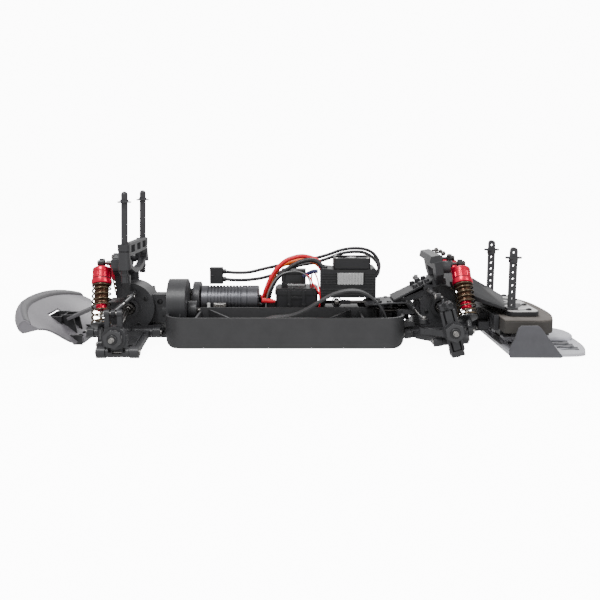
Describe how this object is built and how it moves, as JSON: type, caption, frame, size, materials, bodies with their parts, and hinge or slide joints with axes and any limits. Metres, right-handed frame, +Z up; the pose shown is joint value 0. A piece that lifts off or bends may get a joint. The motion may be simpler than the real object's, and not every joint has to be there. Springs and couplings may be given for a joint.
{
  "type": "radio controlled car chassis",
  "caption": "Rolling chassis of a four wheel drive radio controlled on-road car: tub, motor, gear cases, arms, shocks, steering, electronics and bumpers, without wheels or shell.",
  "frame": {"origin": "centre of the bounding box in plan, at the height of the lowest point", "axes": "+X to the front of the car, +Y to its left side, +Z up"},
  "size_m": [0.607, 0.223, 0.1657],
  "materials": {
    "chassis_tub_finish": "moulded fibre plastic",
    "rear_gearbox_case_finish": "moulded fibre plastic",
    "spur_gear_cover_finish": "moulded fibre plastic",
    "motor_mount_finish": "moulded fibre plastic",
    "motor_can_finish": "black anodised",
    "rear_shock_tower_finish": "moulded fibre plastic",
    "rear_body_post_right_finish": "moulded fibre plastic",
    "rear_body_post_left_finish": "moulded fibre plastic",
    "rear_bumper_finish": "moulded grey",
    "front_gearbox_case_finish": "moulded fibre plastic",
    "front_shock_tower_finish": "moulded fibre plastic",
    "bumper_foam_finish": "closed cell foam",
    "front_body_plate_finish": "pale",
    "front_body_post_right_finish": "moulded fibre plastic",
    "front_body_post_left_finish": "moulded fibre plastic",
    "front_splitter_finish": "moulded fibre plastic",
    "steering_servo_finish": "moulded fibre plastic",
    "receiver_box_finish": "moulded fibre plastic",
    "esc_case_finish": "satin black",
    "battery_strap_finish": "satin",
    "battery_lead_finish": "satin",
    "battery_connector_finish": "satin",
    "spur_gear_shaft_finish": "satin",
    "pinion_gear_finish": "satin",
    "cooling_fan_finish": "moulded black",
    "servo_horn_finish": "moulded fibre plastic",
    "drag_link_finish": "moulded fibre plastic",
    "steering_rack_finish": "satin",
    "rear_arm_right_finish": "moulded fibre plastic",
    "rear_hub_carrier_right_finish": "moulded fibre plastic",
    "rear_wheel_hex_right_finish": "satin",
    "rear_camber_link_right_finish": "moulded fibre plastic",
    "front_arm_right_finish": "moulded fibre plastic",
    "front_caster_block_right_finish": "moulded fibre plastic",
    "front_knuckle_right_finish": "moulded fibre plastic",
    "front_wheel_hex_right_finish": "satin",
    "front_camber_link_right_finish": "moulded fibre plastic",
    "tie_rod_right_finish": "satin",
    "front_shock_rod_right_finish": "satin",
    "rear_shock_rod_right_finish": "satin",
    "rear_shock_body_right_finish": "red anodised",
    "rear_spring_right_finish": "dark wire",
    "front_shock_body_right_finish": "red anodised",
    "front_spring_right_finish": "dark wire",
    "rear_arm_left_finish": "moulded fibre plastic",
    "rear_hub_carrier_left_finish": "moulded fibre plastic",
    "rear_wheel_hex_left_finish": "satin",
    "rear_camber_link_left_finish": "moulded fibre plastic",
    "front_arm_left_finish": "moulded fibre plastic",
    "front_caster_block_left_finish": "moulded fibre plastic",
    "front_knuckle_left_finish": "moulded fibre plastic",
    "front_wheel_hex_left_finish": "satin",
    "front_camber_link_left_finish": "moulded fibre plastic",
    "tie_rod_left_finish": "satin",
    "front_shock_rod_left_finish": "satin",
    "rear_shock_rod_left_finish": "satin",
    "rear_shock_body_left_finish": "red anodised",
    "rear_spring_left_finish": "dark wire",
    "front_shock_body_left_finish": "red anodised",
    "front_spring_left_finish": "dark wire"
  },
  "bodies": {
    "chassis": {"chassis_tub": "chassis_tub_finish", "rear_gearbox_case": "rear_gearbox_case_finish", "spur_gear_cover": "spur_gear_cover_finish", "motor_mount": "motor_mount_finish", "motor_can": "motor_can_finish", "rear_shock_tower": "rear_shock_tower_finish", "rear_body_post_right": "rear_body_post_right_finish", "rear_body_post_left": "rear_body_post_left_finish", "rear_bumper": "rear_bumper_finish", "front_gearbox_case": "front_gearbox_case_finish", "front_shock_tower": "front_shock_tower_finish", "bumper_foam": "bumper_foam_finish", "front_body_plate": "front_body_plate_finish", "front_body_post_right": "front_body_post_right_finish", "front_body_post_left": "front_body_post_left_finish", "front_splitter": "front_splitter_finish", "steering_servo": "steering_servo_finish", "receiver_box": "receiver_box_finish", "esc_case": "esc_case_finish", "battery_strap": "battery_strap_finish", "battery_lead": "battery_lead_finish", "battery_connector": "battery_connector_finish"},
    "spur_gear": {"spur_gear_shaft": "spur_gear_shaft_finish"},
    "pinion": {"pinion_gear": "pinion_gear_finish"},
    "fan": {"cooling_fan": "cooling_fan_finish"},
    "horn": {"servo_horn": "servo_horn_finish"},
    "link_rod": {"drag_link": "drag_link_finish"},
    "rack": {"steering_rack": "steering_rack_finish"},
    "rear_arm_right": {"rear_arm_right": "rear_arm_right_finish"},
    "rear_hub_carrier_right": {"rear_hub_carrier_right": "rear_hub_carrier_right_finish"},
    "rear_wheel_hex_right": {"rear_wheel_hex_right": "rear_wheel_hex_right_finish"},
    "rear_camber_link_right": {"rear_camber_link_right": "rear_camber_link_right_finish"},
    "front_arm_right": {"front_arm_right": "front_arm_right_finish"},
    "front_caster_block_right": {"front_caster_block_right": "front_caster_block_right_finish"},
    "front_knuckle_right": {"front_knuckle_right": "front_knuckle_right_finish"},
    "front_wheel_hex_right": {"front_wheel_hex_right": "front_wheel_hex_right_finish"},
    "front_camber_link_right": {"front_camber_link_right": "front_camber_link_right_finish"},
    "tie_rod_right": {"tie_rod_right": "tie_rod_right_finish"},
    "front_shock_rod_right": {"front_shock_rod_right": "front_shock_rod_right_finish"},
    "rear_shock_rod_right": {"rear_shock_rod_right": "rear_shock_rod_right_finish"},
    "rear_shock_body_right": {"rear_shock_body_right": "rear_shock_body_right_finish", "rear_spring_right": "rear_spring_right_finish"},
    "front_shock_body_right": {"front_shock_body_right": "front_shock_body_right_finish", "front_spring_right": "front_spring_right_finish"},
    "rear_arm_left": {"rear_arm_left": "rear_arm_left_finish"},
    "rear_hub_carrier_left": {"rear_hub_carrier_left": "rear_hub_carrier_left_finish"},
    "rear_wheel_hex_left": {"rear_wheel_hex_left": "rear_wheel_hex_left_finish"},
    "rear_camber_link_left": {"rear_camber_link_left": "rear_camber_link_left_finish"},
    "front_arm_left": {"front_arm_left": "front_arm_left_finish"},
    "front_caster_block_left": {"front_caster_block_left": "front_caster_block_left_finish"},
    "front_knuckle_left": {"front_knuckle_left": "front_knuckle_left_finish"},
    "front_wheel_hex_left": {"front_wheel_hex_left": "front_wheel_hex_left_finish"},
    "front_camber_link_left": {"front_camber_link_left": "front_camber_link_left_finish"},
    "tie_rod_left": {"tie_rod_left": "tie_rod_left_finish"},
    "front_shock_rod_left": {"front_shock_rod_left": "front_shock_rod_left_finish"},
    "rear_shock_rod_left": {"rear_shock_rod_left": "rear_shock_rod_left_finish"},
    "rear_shock_body_left": {"rear_shock_body_left": "rear_shock_body_left_finish", "rear_spring_left": "rear_spring_left_finish"},
    "front_shock_body_left": {"front_shock_body_left": "front_shock_body_left_finish", "front_spring_left": "front_spring_left_finish"}
  },
  "joints": [
    {"name": "drive_shaft_spin", "type": "hinge", "parent": "chassis", "child": "spur_gear", "pos_m": [0, 0, 0.0335], "axis": [1, 0, 0], "continuous": true},
    {"name": "motor_pinion_spin", "type": "hinge", "parent": "chassis", "child": "pinion", "pos_m": [0, 0.0343, 0.039], "axis": [1, 0, 0], "continuous": true},
    {"name": "cooling_fan_spin", "type": "hinge", "parent": "chassis", "child": "fan", "pos_m": [0.0595, 0.027, 0.087], "axis": [0, 0, 1], "continuous": true},
    {"name": "steering_slide", "type": "slide", "parent": "chassis", "child": "rack", "axis": [0, 1, 0], "range_m": [-0.0082, 0.0082]},
    {"name": "servo_horn_turn", "type": "hinge", "parent": "chassis", "child": "horn", "pos_m": [0.042, 0.0063, 0.026], "axis": [0, 1, 0], "range_deg": [-28, 28]},
    {"name": "drag_link_slide", "type": "slide", "parent": "chassis", "child": "link_rod", "axis": [1, 0, 0], "range_m": [-0.008, 0.008]},
    {"name": "rear_suspension_right", "type": "hinge", "parent": "chassis", "child": "rear_arm_right", "pos_m": [-0.19, -0.028, 0.0145], "axis": [-1, 0, 0], "range_deg": [0, 20], "stiffness_Nm_per_rad": 3, "springref_deg": -20.05},
    {"name": "rear_hub_tilt_right", "type": "hinge", "parent": "rear_arm_right", "child": "rear_hub_carrier_right", "pos_m": [-0.1845, -0.09196, 0.00619], "axis": [-1, 0, 0], "range_deg": [-20.5, 0.5]},
    {"name": "rear_wheel_spin_right", "type": "hinge", "parent": "rear_hub_carrier_right", "child": "rear_wheel_hex_right", "pos_m": [-0.1845, -0.1, 0.0212], "axis": [0, 1, 0], "continuous": true},
    {"name": "rear_camber_link_swing_right", "type": "hinge", "parent": "chassis", "child": "rear_camber_link_right", "pos_m": [-0.177, -0.04, 0.055], "axis": [-1, 0, 0], "range_deg": [0, 25.98]},
    {"name": "rear_shock_swing_right", "type": "hinge", "parent": "chassis", "child": "rear_shock_body_right", "pos_m": [-0.209, -0.032, 0.09], "axis": [-1, 0, 0], "range_deg": [0, 4.95]},
    {"name": "rear_shock_stroke_right", "type": "slide", "parent": "rear_shock_body_right", "child": "rear_shock_rod_right", "axis": [-0.0558, 0.4465, 0.893], "range_m": [0, 0.01445], "deforming": ["rear_spring_right"]},
    {"name": "front_suspension_right", "type": "hinge", "parent": "chassis", "child": "front_arm_right", "pos_m": [0.155, -0.028, 0.0162], "axis": [-0.9951, 0, -0.0985], "range_deg": [0, 10], "stiffness_Nm_per_rad": 3, "springref_deg": -20.05},
    {"name": "front_caster_tilt_right", "type": "hinge", "parent": "front_arm_right", "child": "front_caster_block_right", "pos_m": [0.1545, -0.08, 0.01615], "axis": [-0.9951, 0, -0.0985], "range_deg": [-10.5, 0.5]},
    {"name": "front_steer_right", "type": "hinge", "parent": "front_caster_block_right", "child": "front_knuckle_right", "pos_m": [0.1535, -0.09, 0.0277], "axis": [-0.2689, 0, 0.9632], "range_deg": [-20.5, 20.5]},
    {"name": "front_wheel_spin_right", "type": "hinge", "parent": "front_knuckle_right", "child": "front_wheel_hex_right", "pos_m": [0.1545, -0.1, 0.0277], "axis": [0, 1, 0], "continuous": true},
    {"name": "front_camber_link_swing_right", "type": "hinge", "parent": "chassis", "child": "front_camber_link_right", "pos_m": [0.139, -0.04, 0.06], "axis": [-1, 0, 0], "range_deg": [0, 13.71]},
    {"name": "front_shock_swing_right", "type": "hinge", "parent": "chassis", "child": "front_shock_body_right", "pos_m": [0.1715, -0.03, 0.089], "axis": [-1, 0, 0], "range_deg": [0, 2.69]},
    {"name": "front_shock_stroke_right", "type": "slide", "parent": "front_shock_body_right", "child": "front_shock_rod_right", "axis": [-0.0529, 0.542, 0.8387], "range_m": [0, 0.00769], "deforming": ["front_spring_right"]},
    {"name": "tie_rod_swing_right", "type": "hinge", "parent": "rack", "child": "tie_rod_right", "pos_m": [0.122, -0.025, 0.042], "axis": [-1, 0, 0], "range_deg": [0, 10.78]},
    {"name": "rear_suspension_left", "type": "hinge", "parent": "chassis", "child": "rear_arm_left", "pos_m": [-0.19, 0.028, 0.0145], "axis": [1, 0, 0], "range_deg": [0, 20], "stiffness_Nm_per_rad": 3, "springref_deg": -20.05},
    {"name": "rear_hub_tilt_left", "type": "hinge", "parent": "rear_arm_left", "child": "rear_hub_carrier_left", "pos_m": [-0.1845, 0.09196, 0.00619], "axis": [1, 0, 0], "range_deg": [-20.5, 0.5]},
    {"name": "rear_wheel_spin_left", "type": "hinge", "parent": "rear_hub_carrier_left", "child": "rear_wheel_hex_left", "pos_m": [-0.1845, 0.1, 0.0212], "axis": [0, 1, 0], "continuous": true},
    {"name": "rear_camber_link_swing_left", "type": "hinge", "parent": "chassis", "child": "rear_camber_link_left", "pos_m": [-0.177, 0.04, 0.055], "axis": [1, 0, 0], "range_deg": [0, 25.98]},
    {"name": "rear_shock_swing_left", "type": "hinge", "parent": "chassis", "child": "rear_shock_body_left", "pos_m": [-0.209, 0.032, 0.09], "axis": [1, 0, 0], "range_deg": [0, 4.95]},
    {"name": "rear_shock_stroke_left", "type": "slide", "parent": "rear_shock_body_left", "child": "rear_shock_rod_left", "axis": [-0.0558, -0.4465, 0.893], "range_m": [0, 0.01445], "deforming": ["rear_spring_left"]},
    {"name": "front_suspension_left", "type": "hinge", "parent": "chassis", "child": "front_arm_left", "pos_m": [0.155, 0.028, 0.0162], "axis": [0.9951, 0, 0.0985], "range_deg": [0, 10], "stiffness_Nm_per_rad": 3, "springref_deg": -20.05},
    {"name": "front_caster_tilt_left", "type": "hinge", "parent": "front_arm_left", "child": "front_caster_block_left", "pos_m": [0.1545, 0.08, 0.01615], "axis": [0.9951, 0, 0.0985], "range_deg": [-10.5, 0.5]},
    {"name": "front_steer_left", "type": "hinge", "parent": "front_caster_block_left", "child": "front_knuckle_left", "pos_m": [0.1535, 0.09, 0.0277], "axis": [-0.2689, 0, 0.9632], "range_deg": [-20.5, 20.5]},
    {"name": "front_wheel_spin_left", "type": "hinge", "parent": "front_knuckle_left", "child": "front_wheel_hex_left", "pos_m": [0.1545, 0.1, 0.0277], "axis": [0, 1, 0], "continuous": true},
    {"name": "front_camber_link_swing_left", "type": "hinge", "parent": "chassis", "child": "front_camber_link_left", "pos_m": [0.139, 0.04, 0.06], "axis": [1, 0, 0], "range_deg": [0, 13.71]},
    {"name": "front_shock_swing_left", "type": "hinge", "parent": "chassis", "child": "front_shock_body_left", "pos_m": [0.1715, 0.03, 0.089], "axis": [1, 0, 0], "range_deg": [0, 2.69]},
    {"name": "front_shock_stroke_left", "type": "slide", "parent": "front_shock_body_left", "child": "front_shock_rod_left", "axis": [-0.0529, -0.542, 0.8387], "range_m": [0, 0.00769], "deforming": ["front_spring_left"]},
    {"name": "tie_rod_swing_left", "type": "hinge", "parent": "rack", "child": "tie_rod_left", "pos_m": [0.122, 0.025, 0.042], "axis": [1, 0, 0], "range_deg": [0, 10.78]}
  ],
  "couplings": [
    {"joint": "motor_pinion_spin", "follows": "drive_shaft_spin", "ratio": -2.45},
    {"joint": "servo_horn_turn", "follows": "steering_slide", "rad_per_m": 49.6},
    {"joint": "drag_link_slide", "follows": "steering_slide", "ratio": 0.843},
    {"joint": "rear_hub_tilt_right", "follows": "rear_suspension_right", "ratio": -1},
    {"joint": "rear_wheel_spin_right", "follows": "drive_shaft_spin", "ratio": 0.3},
    {"joint": "rear_camber_link_swing_right", "follows": "rear_suspension_right", "ratio": 1.2739},
    {"joint": "rear_shock_swing_right", "follows": "rear_suspension_right", "ratio": 0.2225},
    {"joint": "rear_shock_stroke_right", "follows": "rear_suspension_right", "m_per_rad": 0.04},
    {"joint": "front_caster_tilt_right", "follows": "front_suspension_right", "ratio": -1},
    {"joint": "front_steer_right", "follows": "steering_slide", "rad_per_m": -43.329},
    {"joint": "front_wheel_spin_right", "follows": "drive_shaft_spin", "ratio": 0.3},
    {"joint": "front_camber_link_swing_right", "follows": "front_suspension_right", "ratio": 1.3208},
    {"joint": "front_shock_swing_right", "follows": "front_suspension_right", "ratio": 0.2189},
    {"joint": "front_shock_stroke_right", "follows": "front_suspension_right", "m_per_rad": 0.0412},
    {"joint": "tie_rod_swing_right", "follows": "front_suspension_right", "ratio": 1.028},
    {"joint": "rear_hub_tilt_left", "follows": "rear_suspension_left", "ratio": -1},
    {"joint": "rear_wheel_spin_left", "follows": "drive_shaft_spin", "ratio": 0.3},
    {"joint": "rear_camber_link_swing_left", "follows": "rear_suspension_left", "ratio": 1.2739},
    {"joint": "rear_shock_swing_left", "follows": "rear_suspension_left", "ratio": 0.2225},
    {"joint": "rear_shock_stroke_left", "follows": "rear_suspension_left", "m_per_rad": 0.04},
    {"joint": "front_caster_tilt_left", "follows": "front_suspension_left", "ratio": -1},
    {"joint": "front_steer_left", "follows": "steering_slide", "rad_per_m": -43.329},
    {"joint": "front_wheel_spin_left", "follows": "drive_shaft_spin", "ratio": 0.3},
    {"joint": "front_camber_link_swing_left", "follows": "front_suspension_left", "ratio": 1.3208},
    {"joint": "front_shock_swing_left", "follows": "front_suspension_left", "ratio": 0.2189},
    {"joint": "front_shock_stroke_left", "follows": "front_suspension_left", "m_per_rad": 0.0412},
    {"joint": "tie_rod_swing_left", "follows": "front_suspension_left", "ratio": 1.028}
  ]
}
